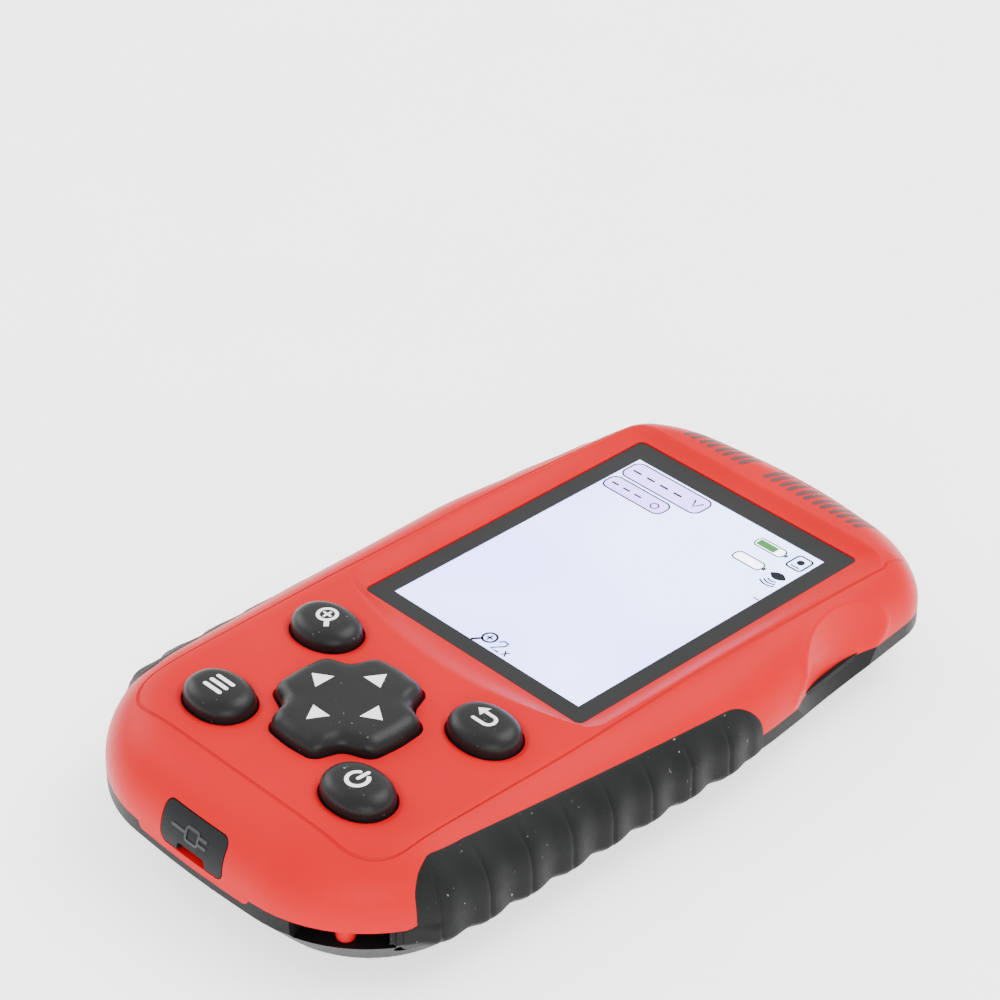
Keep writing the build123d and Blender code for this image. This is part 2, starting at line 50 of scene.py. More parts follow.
QUARTER = SHOULDER * math.pi / 2    # length of the shoulder's arc
CROWN_Y, CROWN_RADIUS = 51.0, 90.0  # the face falls away towards the top end
SHELL_THICK = 1.7
SHIFT = 1.02                        # the layout's zero along Y lies here in the row frame
WINDOW_Y, WINDOW_HALF_X, WINDOW_HALF_Y, WINDOW_CORNER = 19.55 + SHIFT, 25.3, 32.65, 1.2
RIM_Z = 20.9                        # the face meets the window's edge here
SCREEN_Y, SCREEN_HALF_X, SCREEN_HALF_Y = 19.1 + SHIFT, 21.6, 28.8
SCOOP_Y, SCOOP_RADIUS, SCOOP_X, SCOOP_TILT = 38.0, 30.0, 34.4, math.radians(15)
CREASE_HALF, CREASE_DEPTH = 0.34, 0.34
APRON_DROP, APRON_FLARE = 1.1, 0.12  # round the port cover the shell hangs lower and flares out
KEYS = ("zoom_key", "escape_key", "menu_key", "power_key")
KEY_HALF_X, KEY_HALF_Y, KEY_GAP, PAD_GAP = 6.5, 5.0, 0.35, 0.45
KEY_TOP_Z, KEY_LOW_Z, PAD_TOP_Z, PAD_LOW_Z = 25.95, 19.3, 26.1, 18.6


def centre_of(node):
    low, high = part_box(node)
    return (low + high) / 2 / MM


# ---- camera, floor and light --------------------------------------------------------------------------
def add_camera():
    """The viewing angle of a product shot: right-hand lower corner nearest."""
    azimuth, elevation, distance = math.radians(46.5), math.radians(33.9), 583.3 * MM
    aim = Vector((-29.8, 22.1 + SHIFT, 20.0)) * MM
    data = bpy.data.cameras.new("camera")
    data.lens = 122.4
    data.sensor_width = 36.0
    data.clip_start = 0.01
    camera = bpy.data.objects.new("camera", data)
    away = Vector((math.sin(azimuth) * math.cos(elevation), -math.cos(azimuth) * math.cos(elevation),
                   math.sin(elevation)))
    camera.location = aim + distance * away
    camera.rotation_euler = away.to_track_quat("Z", "Y").to_euler()
    bpy.context.collection.objects.link(camera)
    bpy.context.scene.camera = camera


def add_light(name, place, aim, size, power, colour=(1, 1, 1)):
    data = bpy.data.lights.new(name, "AREA")
    data.shape = "RECTANGLE"
    data.size, data.size_y = size
    data.energy = power
    data.color = colour
    light = bpy.data.objects.new(name, data)
    light.location = place
    light.rotation_euler = (Vector(place) - Vector(aim)).to_track_quat("Z", "Y").to_euler()
    bpy.context.collection.objects.link(light)


# ---- materials ----------------------------------------------------------------------------------------
def new_material(name):
    material = bpy.data.materials.new(name)
    material.use_nodes = True
    tree = material.node_tree
    return material, tree, tree.nodes["Principled BSDF"]


def add_node(tree, kind, **inputs):
    node = tree.nodes.new(kind)
    for key, value in inputs.items():
        node.inputs[key.replace("_", " ")].default_value = value
    return node


def noise(tree, scale, detail=3.0, roughness=0.5):
    """Noise in object coordinates, so that it stays on the surface."""
    coordinates = tree.nodes.new("ShaderNodeTexCoord")
    node = add_node(tree, "ShaderNodeTexNoise", Scale=scale, Detail=detail, Roughness=roughness)
    tree.links.new(coordinates.outputs["Object"], node.inputs["Vector"])
    return node.outputs["Fac"]


def ramp(tree, source, stops):
    node = tree.nodes.new("ShaderNodeValToRGB")
    elements = node.color_ramp.elements
    while len(elements) < len(stops):
        elements.new(0.5)
    for element, (place, colour) in zip(elements, stops):
        element.position = place
        element.color = (*colour, 1)
    tree.links.new(source, node.inputs["Fac"])
    return node.outputs["Color"]


def grey(value):
    return (value, value, value)


def moulded(name, colour, spread, rough, grain, bump, shine=0.3, coat=0.0, specks=0.0):
    """Moulded plastic or rubber: slight colour drift, fine grain in roughness and bump, and dust specks."""
    material, tree, shader = new_material(name)
    drift = noise(tree, 60.0, 4.0)
    low = tuple(c * (1 - spread) for c in colour)
    high = tuple(min(1.0, c * (1 + spread)) for c in colour)
    base = ramp(tree, drift, [(0.3, low), (0.7, high)])
    if specks:
        dust = ramp(tree, noise(tree, 1500.0, 2.0), [(0.70, grey(0)), (0.76, grey(1))])
        patches = ramp(tree, noise(tree, 220.0, 2.0), [(0.52, grey(0)), (0.62, grey(specks))])
        both = tree.nodes.new("ShaderNodeMath")
        both.operation = "MULTIPLY"
        tree.links.new(dust, both.inputs[0])
        tree.links.new(patches, both.inputs[1])
        mix = tree.nodes.new("ShaderNodeMix")
        mix.data_type = "RGBA"
        mix.inputs[7].default_value = (0.45, 0.46, 0.45, 1)
        tree.links.new(both.outputs[0], mix.inputs[0])
        tree.links.new(base, mix.inputs[6])
        base = mix.outputs[2]
    tree.links.new(base, shader.inputs["Base Color"])
    fine = noise(tree, grain, 3.0, 0.6)
    tree.links.new(ramp(tree, fine, [(0.3, grey(rough - 0.06)), (0.7, grey(rough + 0.06))]),
                   shader.inputs["Roughness"])
    bumper = add_node(tree, "ShaderNodeBump", Strength=bump, Distance=0.00004)
    tree.links.new(fine, bumper.inputs["Height"])
    tree.links.new(bumper.outputs["Normal"], shader.inputs["Normal"])
    shader.inputs["Specular IOR Level"].default_value = shine
    shader.inputs["Coat Weight"].default_value = coat
    shader.inputs["Coat Roughness"].default_value = 0.25
    return material


def metal(name, colour, rough):
    material, tree, shader = new_material(name)
    streaks = noise(tree, 900.0, 3.0)
    tree.links.new(ramp(tree, streaks, [(0.3, tuple(c * 0.85 for c in colour)), (0.7, colour)]),
                   shader.inputs["Base Color"])
    tree.links.new(ramp(tree, streaks, [(0.3, grey(rough)), (0.7, grey(rough + 0.15))]),
                   shader.inputs["Roughness"])
    shader.inputs["Metallic"].default_value = 1.0
    return material


def glowing(name, stops, strength):
    """Lit screen: soft colour drift in an emission shader."""
    material, tree, shader = new_material(name)
    drift = ramp(tree, noise(tree, 28.0, 1.0), stops)
    tree.links.new(drift, shader.inputs["Emission Color"])
    tree.links.new(drift, shader.inputs["Base Color"])
    shader.inputs["Emission Strength"].default_value = strength
    shader.inputs["Roughness"].default_value = 0.35
    return material


def clear_sheet(name):
    material, tree, shader = new_material(name)
    haze = ramp(tree, noise(tree, 300.0, 2.0), [(0.3, grey(0.05)), (0.7, grey(0.09))])
    tree.links.new(haze, shader.inputs["Roughness"])
    shader.inputs["Base Color"].default_value = (0.02, 0.02, 0.025, 1)
    shader.inputs["Alpha"].default_value = 0.06
    return material


RED = moulded("shell_red", (0.52, 0.0008, 0.006), 0.04, 0.36, 2600.0, 0.10, shine=0.07)
BLACK = moulded("shell_black", (0.007, 0.0073, 0.0077), 0.15, 0.45, 2600.0, 0.12, shine=0.10)
RUBBER = moulded("grip_rubber", (0.0065, 0.0069, 0.0069), 0.18, 0.58, 3200.0, 0.35, shine=0.13,
                 specks=0.8)
KEY_RUBBER = moulded("key_rubber", (0.0075, 0.0077, 0.008), 0.15, 0.38, 3000.0, 0.25, shine=0.2,
                     specks=0.5)
COVER_RUBBER = moulded("cover_rubber", (0.009, 0.010, 0.011), 0.15, 0.55, 3000.0, 0.30, shine=0.12)
EMBOSSED = moulded("cover_mark", (0.022, 0.024, 0.027), 0.15, 0.45, 3000.0, 0.30)
LEGEND = moulded("legend_white", (0.90, 0.90, 0.90), 0.03, 0.45, 3000.0, 0.10)
ORNAMENT = moulded("ornament_grey", (0.085, 0.035, 0.038), 0.12, 0.45, 3000.0, 0.15, shine=0.15)
BORDER = moulded("border_print", (0.020, 0.0205, 0.021), 0.06, 0.35, 1500.0, 0.05, shine=0.1)
SCREEN = glowing("screen_light", [(0.35, (0.42, 0.46, 1.0)), (0.65, (0.50, 0.60, 1.0))], 5.0)
SCREEN_WHITE = glowing("screen_white", [(0.3, (0.8, 0.8, 1.0)), (0.7, (0.85, 0.85, 1.0))], 5.0)
SCREEN_PALE = glowing("screen_pale", [(0.3, (0.44, 0.36, 0.98)), (0.7, (0.50, 0.40, 1.0))], 3.6)
INK = moulded("screen_ink", (0.008, 0.008, 0.02), 0.2, 0.4, 1500.0, 0.02, shine=0.1)
GREEN = glowing("screen_green", [(0.3, (0.02, 0.16, 0.02)), (0.7, (0.03, 0.20, 0.03))], 0.4)
CLEAR = clear_sheet("window_clear")


# ---- mesh helpers -------------------------------------------------------------------------------------
def make_piece(name, verts, faces, material, body, replaces=(), smooth=True):
    mesh = bpy.data.meshes.new(name)
    mesh.from_pydata([tuple(v) for v in np.asarray(verts, float) * MM], [], faces)
    mesh.validate()
    mesh.update()
    piece = bpy.data.objects.new(name, mesh)
    bpy.context.collection.objects.link(piece)
    work = bmesh.new()
    work.from_mesh(mesh)
    bmesh.ops.recalc_face_normals(work, faces=work.faces)
    work.to_mesh(mesh)
    work.free()
    if smooth:
        mesh.polygons.foreach_set("use_smooth", [True] * len(mesh.polygons))
    mesh.materials.append(material)
    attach(piece, body)
    if replaces:
        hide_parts(*replaces)
    return piece


def ring_faces(rows, columns, closed_rows=False):
    """Quads of a grid whose columns close into rings; vertex index is row * columns + column."""
    faces = []
    for row in range(rows if closed_rows else rows - 1):
        upper = (row + 1) % rows
        for column in range(columns):
            after = (column + 1) % columns
            faces.append((row * columns + column, row * columns + after, upper * columns + after,
                          upper * columns + column))
    return faces


def grid_faces(rows, columns):
    """Quads of an open grid; vertex index is row * columns + column."""
    return [(i, i + 1, i + columns + 1, i + columns)
            for row in range(rows - 1) for i in range(row * columns, row * columns + columns - 1)]


def unit(vector):
    return vector / np.linalg.norm(vector)


def arc_outline(points, radii, step):
    """Even points along a closed outline whose corners are rounded."""
    points = np.array(points, float)
    made = []
    count = len(points)
    for i in range(count):
        before, here, after = points[i - 1], points[i], points[(i + 1) % count]
        u, w = unit(before - here), unit(after - here)
        angle = math.acos(np.clip(u @ w, -1, 1))
        centre = here + unit(u + w) * radii[i] / math.sin(angle / 2)
        reach = radii[i] / math.tan(angle / 2)
        start, end = here + u * reach - centre, here + w * reach - centre
        a0, a1 = math.atan2(start[1], start[0]), math.atan2(end[1], end[0])
        turn = (a1 - a0 + math.pi) % (2 * math.pi) - math.pi
        for share in np.linspace(0, 1, 16):
            a = a0 + share * turn
            made.append(centre + radii[i] * np.array([math.cos(a), math.sin(a)]))
    made = np.array(made + made[:1])
    along = np.r_[0, np.cumsum(np.linalg.norm(np.diff(made, axis=0), axis=1))]
    places = np.arange(0, along[-1] - step / 2, along[-1] / round(along[-1] / step))
    return np.c_[np.interp(places, along, made[:, 0]), np.interp(places, along, made[:, 1])]


def smooth_step(low, high, value):
    t = np.clip((value - low) / (high - low), 0, 1)
    return t * t * (3 - 2 * t)


# ---- the housing's form -------------------------------------------------------------------------------
SIDE = [(24.8, 66.4), (34.1, 59.2), (38.9, 15.1), (37.3, -69.5)]
SIDE_RADII = [24, 11.2, 60, 25]
corners = [(0, 69.9)] + SIDE + [(0, -71.3)] + [(-x, y) for x, y in SIDE[::-1]]
corners = [(x, y + SHIFT) for x, y in corners]
PLAN = arc_outline(corners, [88] + SIDE_RADII + [200] + SIDE_RADII[::-1], 0.6)
tangent = np.roll(PLAN, -1, axis=0) - np.roll(PLAN, 1, axis=0)
tangent /= np.linalg.norm(tangent, axis=1)[:, None]
PLAN_OUT = np.c_[-tangent[:, 1], tangent[:, 0]]
HUB = np.array([0.0, WINDOW_Y])     # the window's centre, where every radial line of the skin begins


def depth_inside(x, y):
    """How far points lie inside the plan outline."""
    points = np.c_[x, y]
    best = np.full(len(points), 1e9)
    following = np.roll(PLAN, -1, axis=0)
    for a, b in zip(PLAN, following):
        run = b - a
        share = np.clip(((points - a) @ run) / (run @ run), 0, 1)
        gap = points - a - share[:, None] * run
        best = np.minimum(best, (gap ** 2).sum(1))
    return np.sqrt(best)


def crown_drop(y):
    past = np.clip(y - CROWN_Y, 0, CROWN_RADIUS - 1)
    return CROWN_RADIUS - np.sqrt(CROWN_RADIUS ** 2 - past ** 2)


def face_height(x, y, depth):
    """Height of the outer skin: shoulder, plateau with a slight pillow, and the falling top end."""
    inside = np.minimum(depth, SHOULDER)
    fall = SHOULDER - np.sqrt(np.maximum(SHOULDER ** 2 - (SHOULDER - inside) ** 2, 0))
    pillow = 0.55 * smooth_step(6, 26, depth) * smooth_step(10, -25, y)
    return FACE_Z - crown_drop(y) - fall + pillow


def ray_hit(direction, half_x, half_y, radius):
    """Where a ray from the hub meets a rounded rectangle round it."""
    corners = [(half_x, half_y), (half_x, -half_y), (-half_x, -half_y), (-half_x, half_y)]
    return hit_curve(direction, arc_outline(corners, [radius] * 4, 0.2))


def hit_curve(direction, curve):
    """Distance along each direction from the origin to a star-shaped closed curve round it."""
    angles = np.arctan2(curve[:, 1], curve[:, 0])
    order = np.argsort(angles)
    angles, lengths = angles[order], np.linalg.norm(curve, axis=1)[order]
    wanted = np.arctan2(direction[:, 1], direction[:, 0])
    return np.interp(wanted, np.r_[angles - 2 * math.pi, angles, angles + 2 * math.pi], np.tile(lengths, 3))


def dish_curve():
    """Upper edge of the shallow dish round the window: straight sides and a curved lower edge."""
    side, top, corner, smile = 29.4, 55.0 + SHIFT, -13.6 + SHIFT, -20.4 + SHIFT
    low = [(side * s, corner + (smile - corner) * (1 - s * s)) for s in np.linspace(1, -1, 13)]
    points = [(side, top)] + low + [(-side, top)]
    radii = [2.5, 3.5] + [12] * 11 + [3.5, 2.5]
    return arc_outline(points, radii, 0.3) - HUB


def crease_curve():
    """Crease between the plateau and the shoulder band, which leaves the face near the top corners."""
    side, low, high = 30.4, -60.6 + SHIFT, 63.4 + SHIFT
    points = [(29.0, high), (side, -20), (side - 0.6, low), (-side + 0.6, low), (-side, -20), (-29.0, high)]
    return arc_outline(points, [5, 300, 7.5, 7.5, 300, 5], 0.3) - HUB


def scoop_over(points):
    """How far points reach past the thumb hollows: leaning cylinders, tighter above the parting line."""
    z = points[:, 2] - PARTING_Z
    tighter = smooth_step(0, 5, z)
    y, radius = points[:, 1] - SHIFT - SCOOP_Y - 2.2 * tighter, SCOOP_RADIUS - 6.0 * tighter
    bow = radius - np.sqrt(np.maximum(radius ** 2 - y ** 2, 0))
    wall = SCOOP_X - z * math.tan(SCOOP_TILT) + bow / math.cos(SCOOP_TILT)
    near = (np.abs(y) < 16) & (np.abs(points[:, 0]) > 24)
    return np.where(near, np.abs(points[:, 0]) - wall, -99.0)


def scoop_dent(points):
    """How far the hollows push the outer skin inwards, with a raised lip round each."""
    over = scoop_over(points)
    lip = 0.26 * np.exp(-((over + 0.40) / 0.28) ** 2)
    return np.maximum(over, 0) - lip * smooth_step(0.3, 2.0, points[:, 2] - PARTING_Z)


def face_stations(full, crease, dish):
    """Distances of the face's rings from the hub: from the outline to the crease and on to the dish."""
    band = [full - share * (full - crease - CREASE_HALF) for share in np.linspace(0, 1, 30)[:-1] ** 1.5]
    groove = [crease + share * CREASE_HALF for share in np.linspace(1, -1, 9)]
    plateau = [crease - CREASE_HALF + share * (dish - crease + CREASE_HALF)
               for share in np.linspace(0, 1, 92)[1:-1]]
    return band + groove + plateau


def inner_skin(spoke, full, rim, foot):
    """The shell's inside, from the window's rim out to the parting line."""
    plate_z, rim_z, slope = 20.0, 19.0, 1.5         # it stays under these heights
    layers = []
    for share in np.linspace(0, 1, 14):
        reach = (full - SHELL_THICK) * (1 - share) + (rim + 0.02) * share
        flat = HUB + spoke * reach[:, None]
        depth = np.maximum(depth_inside(flat[:, 0], flat[:, 1]) - SHELL_THICK, 0)
        height = np.minimum(face_height(flat[:, 0], flat[:, 1], depth) - SHELL_THICK, plate_z)
        if share == 0:
            layers.append(np.c_[flat, foot])
        layers.append(np.c_[flat, np.minimum(height, rim_z + slope * (1 - share))])
    inner = np.concatenate(layers[::-1])
    inner[:, 0] -= np.sign(inner[:, 0]) * np.maximum(scoop_over(inner) + SHELL_THICK, 0)
    return inner


def front_skin():
    """The red shell, as rings round the hub: up the side wall, over the face, and back along the inside."""
    spoke = PLAN - HUB
    full = np.linalg.norm(spoke, axis=1)
    spoke = spoke / full[:, None]
    rim = ray_hit(spoke, WINDOW_HALF_X, WINDOW_HALF_Y, WINDOW_CORNER)
    dish = hit_curve(spoke, dish_curve())
    crease = np.minimum(hit_curve(spoke, crease_curve()), full - 1.2)
    crease = np.maximum(crease, dish + 0.6)
    apron = smooth_step(-50 + SHIFT, -68 + SHIFT, PLAN[:, 1]) * smooth_step(13.2, 12.4, np.abs(PLAN[:, 0]))
    foot = PARTING_Z - APRON_DROP * apron
    layers = []
    for level in np.linspace(0, 1, 10)[:-1]:        # the side wall, upwards
        height = foot + level * np.maximum(FACE_Z - SHOULDER - crown_drop(PLAN[:, 1]) - foot, 0.3)
        flare = APRON_FLARE * apron * (1 - level)
        layers.append(np.c_[PLAN + PLAN_OUT * flare[:, None], height])
    for row, station in enumerate(face_stations(full, crease, dish)):
        flat = HUB + spoke * station[:, None]
        depth = depth_inside(flat[:, 0], flat[:, 1])
        height = face_height(flat[:, 0], flat[:, 1], depth)
        off_crease = np.abs(station - crease) / CREASE_HALF
        height = height - (CREASE_DEPTH * np.sqrt(np.clip(1 - off_crease, 0, 1))
                           * smooth_step(0.8, 2.0, depth))
        layers.append(np.c_[flat, np.maximum(height, foot + 0.3 + 0.01 * row)])
    edge = HUB + spoke * dish[:, None]
    edge_z = face_height(edge[:, 0], edge[:, 1], depth_inside(edge[:, 0], edge[:, 1]))
    for share in np.linspace(0, 1, 12):             # the dish, down to the window's edge
        flat = HUB + spoke * (dish + share * (rim - dish))[:, None]
        ease = share ** 1.35 * (2 - share) if share < 1 else 1.0
        layers.append(np.c_[flat, edge_z + (RIM_Z - edge_z) * min(ease, 1.0)])
    flat = HUB + spoke * rim[:, None]
    layers.append(np.c_[flat - spoke * 0.05, np.full(len(PLAN), RIM_Z - 0.25)])
    outer = np.concatenate(layers)
    outer[:, 0] -= np.sign(outer[:, 0]) * scoop_dent(outer)
    for place in key_places():                      # a slight hollow round each key
        gap = np.sqrt((outer[:, 0] - place[0]) ** 2 / (KEY_HALF_X + KEY_GAP) ** 2
                      + (outer[:, 1] - place[1]) ** 2 / (KEY_HALF_Y + KEY_GAP) ** 2)
        outer[:, 2] -= 0.35 * smooth_step(1.16, 1.0, gap) * (outer[:, 2] > 19)
    verts = np.concatenate([outer, inner_skin(spoke, full, rim, foot)])
    return verts, ring_faces(len(verts) // len(PLAN), len(PLAN), closed_rows=True)


def key_places():
    return [centre_of(name)[:2] for name in KEYS]


def oval_points(centre, half_x, half_y, count=96, power=2.15):
    made = []
    for turn in np.linspace(0, 2 * math.pi, count, endpoint=False):
        c, s = math.cos(turn), math.sin(turn)
        made.append((centre[0] + half_x * math.copysign(abs(c) ** (2 / power), c),
                     centre[1] + half_y * math.copysign(abs(s) ** (2 / power), s)))
    return np.array(made)


def clover_points(grow):
    """Outline of the four-way pad, grown outwards for its hole."""
    centre = centre_of("dpad_cap")[:2]
    reach, lobe, dip = 11.6 + grow, 5.3 + grow * 0.5, 7.0 + grow * 0.75
    points, radii = [], []
    for turn in range(4):
        for x, y, radius in ((reach, -lobe, 2.6), (reach + 0.5, 0, 18), (reach, lobe, 2.6), (dip, dip, 3.2)):
            for _ in range(turn):
                x, y = -y, x
            points.append((x + centre[0], y + centre[1]))
            radii.append(radius)
    return arc_outline(points, radii, 0.35)


def prism(points, low, high):
    """Closed prism of a plan outline."""
    count = len(points)
    verts = [(x, y, z) for z in (low, high) for x, y in points]
    return verts, ring_faces(2, count) + end_caps(2, count)


def end_caps(rows, columns):
    """The two faces that close a stack of rings."""
    last = (rows - 1) * columns
    return [tuple(range(columns)), tuple(range(last, last + columns))]


def joined(parts):
    verts, faces = [], []
    for part_verts, part_faces in parts:
        start = len(verts)
        verts.extend([tuple(v) for v in part_verts])
        faces.extend([tuple(i + start for i in face) for face in part_faces])
    return verts, faces


def cut_out(piece, parts):
    """Boolean difference with closed cutters, which are then thrown away."""
    verts, faces = joined(parts)
    mesh = bpy.data.meshes.new("cutter")
    mesh.from_pydata([tuple(v) for v in np.asarray(verts, float) * MM], [], faces)
    work = bmesh.new()
    work.from_mesh(mesh)
    bmesh.ops.recalc_face_normals(work, faces=work.faces)
    work.to_mesh(mesh)
    work.free()
    cutter = bpy.data.objects.new("cutter", mesh)
    bpy.context.collection.objects.link(cutter)
    modifier = piece.modifiers.new("holes", "BOOLEAN")
    modifier.operation = "DIFFERENCE"
    modifier.solver = "EXACT"
    modifier.object = cutter
    bpy.context.view_layer.update()
    evaluated = piece.evaluated_get(bpy.context.evaluated_depsgraph_get())
    result = bpy.data.meshes.new_from_object(evaluated)
    piece.modifiers.clear()
    piece.data = result
    bpy.data.objects.remove(cutter)


def sharpen(piece, degrees=38):
    """Smooth shading that breaks at corners."""
    mesh = piece.data
    mesh.polygons.foreach_set("use_smooth", [True] * len(mesh.polygons))
    mesh.set_sharp_from_angle(angle=math.radians(degrees))


def cover_outline(grow):
    """Side outline of the port cover as x, z points."""
    low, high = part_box("usb_cover")
    x, z0, z1 = high.x / MM + grow, low.z / MM - grow, high.z / MM + grow
    return arc_outline([(-x, z0), (-x, z1), (x, z1), (x, z0)], [1.3 + grow] * 4, 0.3)


def end_wall_y(x, z):
    """Outer face of the lower end wall."""
    end = PLAN[(PLAN[:, 1] < -60) & (np.abs(PLAN[:, 0]) < 12)]
    end = end[np.argsort(end[:, 0])]
    rise = np.maximum(z - (FACE_Z - SHOULDER), 0)
    return np.interp(x, end[:, 0], end[:, 1]) + SHOULDER - np.sqrt(SHOULDER ** 2 - rise ** 2)


PORT_Y = -75.0                      # beyond the lower end wall


def port_pocket():
    """Cutter for the port cover's seat: its inner end follows the wall, as deep as the cover is thick."""
    gap, deep = 0.2, 1.6
    rim = cover_outline(gap)
    centre = rim.mean(axis=0)
    layers = [np.c_[rim[:, 0], np.full(len(rim), PORT_Y), rim[:, 1]]]
    for share in (1.0, 0.8, 0.6, 0.4, 0.2, 0.02):
        flat = centre + (rim - centre) * share
        layers.append(np.c_[flat[:, 0], end_wall_y(flat[:, 0], flat[:, 1]) + deep, flat[:, 1]])
    return np.concatenate(layers), ring_faces(len(layers), len(rim)) + end_caps(len(layers), len(rim))


def port_hole():
    """Cutter for the socket's opening behind the cover."""
    half_x, low, high, near, far = 4.3, 13.85, 17.55, -72.0, -62.0
    rim = arc_outline([(-half_x, low), (-half_x, high), (half_x, high), (half_x, low)], [1.0] * 4, 0.3)
    verts = [(x, y, z) for y in (near, far) for x, z in rim]
    return verts, ring_faces(2, len(rim)) + end_caps(2, len(rim))


verts, faces = front_skin()
front = make_piece("red_front_shell", verts, faces, RED, "housing", ["front_shell"])
hole_low, hole_high = 15.0, 30.0
cutters = [prism(oval_points(place, KEY_HALF_X + KEY_GAP, KEY_HALF_Y + KEY_GAP), hole_low, hole_high)
           for place in key_places()]
cutters.append(prism(clover_points(PAD_GAP), hole_low, hole_high))
cutters.append(port_pocket())
cut_out(front, cutters)
cut_out(front, [port_hole()])       # on its own, since it overlaps the pocket's cutter
sharpen(front)

# The other CAD nodes that stay, with better materials.
LOOKS = {"rear_shell": BLACK, "usb_cover": COVER_RUBBER, "display_window": CLEAR,
         "housing_seal": moulded("seal_black", (0.006, 0.0062, 0.0065), 0.15, 0.6, 2500.0, 0.2, shine=0.1),
         "window_gasket": moulded("foam_grey", (0.05, 0.05, 0.05), 0.2, 0.8, 1500.0, 0.4),
         "lcd_glass": BORDER,
         "lcd_backlight": moulded("white_plastic", (0.75, 0.75, 0.73), 0.03, 0.5, 2500.0, 0.1),
         "lcd_flex": moulded("flex_amber", (0.55, 0.22, 0.04), 0.08, 0.35, 1200.0, 0.05),
         "flex_connector": moulded("connector_white", (0.7, 0.68, 0.6), 0.04, 0.5, 2500.0, 0.1),
         "keypad_mat": moulded("silicone_grey", (0.28, 0.29, 0.30), 0.06, 0.6, 2500.0, 0.15),
         "snap_domes": metal("dome_steel", (0.75, 0.74, 0.70), 0.25),
         "main_board": moulded("board_green", (0.015, 0.16, 0.06), 0.12, 0.35, 1200.0, 0.1, coat=0.3),
         "board_chips": moulded("chip_black", (0.02, 0.02, 0.022), 0.1, 0.5, 2500.0, 0.1),
         "radio_module": metal("shield_steel", (0.72, 0.72, 0.73), 0.3),
         "antenna": metal("copper_wire", (0.72, 0.40, 0.22), 0.3),
         "usb_socket": metal("socket_steel", (0.70, 0.70, 0.72), 0.22),
         "battery_cell": moulded("battery_wrap", (0.09, 0.24, 0.5), 0.06, 0.3, 800.0, 0.1, coat=0.3),
         "battery_lead": moulded("lead_sleeve", (0.5, 0.03, 0.02), 0.08, 0.45, 2500.0, 0.1),
         "case_screws": metal("screw_steel", (0.55, 0.55, 0.57), 0.28)}
LOOKS["lcd_frame"] = LOOKS["lcd_backlight"]
LOOKS["battery_pad"] = LOOKS["window_gasket"]
LOOKS["battery_connector"] = LOOKS["flex_connector"]
LOOKS["buzzer"] = LOOKS["board_chips"]
LOOKS["board_screws"] = LOOKS["case_screws"]
LOOKS["dpad_core"] = LOOKS["lcd_backlight"]
for name, material in LOOKS.items():
    slots = nodes[name].material_slots
    for entry in slots:
        entry.material = material
    if not slots:
        nodes[name].data.materials.append(material)


# ---- lanyard post -------------------------------------------------------------------------------------
LANYARD_X, LANYARD_Y, LANYARD_ARC, LANYARD_TURN = 12.75, -45.65 + SHIFT, 21.5, math.radians(-52.0)


def lanyard_post():
    """Tapered pin that the front shell lowers into the lanyard gap, with a narrow bore up its middle."""
    x = LANYARD_X + LANYARD_ARC * math.cos(LANYARD_TURN)
    y = LANYARD_Y + LANYARD_ARC * math.sin(LANYARD_TURN)
    profile = [(1.2, 7.7), (1.5, 7.85), (1.6, 8.4), (1.8, 10.8), (2.1, 11.4), (2.5, 11.8), (2.5, 12.8),
               (0.4, 12.9), (0.4, 7.7)]
    count = 32
    verts = [(x + r * math.cos(a), y + r * math.sin(a), z) for r, z in profile
             for a in np.linspace(0, 2 * math.pi, count, endpoint=False)]
    return verts, ring_faces(len(profile), count, closed_rows=True)


verts, faces = lanyard_post()
sharpen(make_piece("lanyard_pin", verts, faces, RED, "housing"), 50)


# ---- rubber grips -------------------------------------------------------------------------------------
RIB_PITCH, RIB_FIRST = 8.5, 6.4 + SHIFT
GRIP_LOW_Y, GRIP_HIGH_Y, GRIP_LOW_Z = -56.9, 15.3, 4.3  # ends and lower edge, in the layout's frame
GRIP_EDGE, GRIP_BACK = -0.5, -0.9   # the outer edge and the hidden back against the housing's skin
GRIP_ROUND = 0.8                    # the rubber's edge rises over this distance


def section_point(run):
    """Profile of the housing's side by distance from the face: inward offset, height and normal's tilt."""
    wall = FACE_Z - SHOULDER - TAPER_Z
    if run < QUARTER:
        a = math.pi / 2 - run / SHOULDER
        return SHOULDER * (1 - math.cos(a)), FACE_Z - SHOULDER * (1 - math.sin(a)), a
    if run < QUARTER + wall:
        return 0.0, FACE_Z - SHOULDER - (run - QUARTER), 0.0
    down = run - QUARTER - wall
    return down * math.sin(TAPER), TAPER_Z - down * math.cos(TAPER), -TAPER * min(1.0, down / 1.5)


def grip_margin(y, z):
    """How far a row of the grip lies inside its edge, whose corners are rounded; negative outside."""
    top_z = np.minimum(19.1 + (6 - y) * 0.045, 21.4)
    upper, lower = top_z - z, np.full(len(y), z - GRIP_LOW_Z)
    far, near = GRIP_HIGH_Y - y, y - GRIP_LOW_Y + 1.8 * smooth_step(12.2, 11.2, z)
    margin = np.minimum.reduce([far, near, upper, lower])
    for a, b, radius in ((far, upper, 7.0), (near, upper, 5.0), (np.minimum(far, near), lower, 3.0)):
        corner = radius - np.hypot(np.clip(radius - a, 0, None), np.clip(radius - b, 0, None))
        margin = np.where((a < radius) & (b < radius), np.minimum(corner, margin), margin)
    return margin


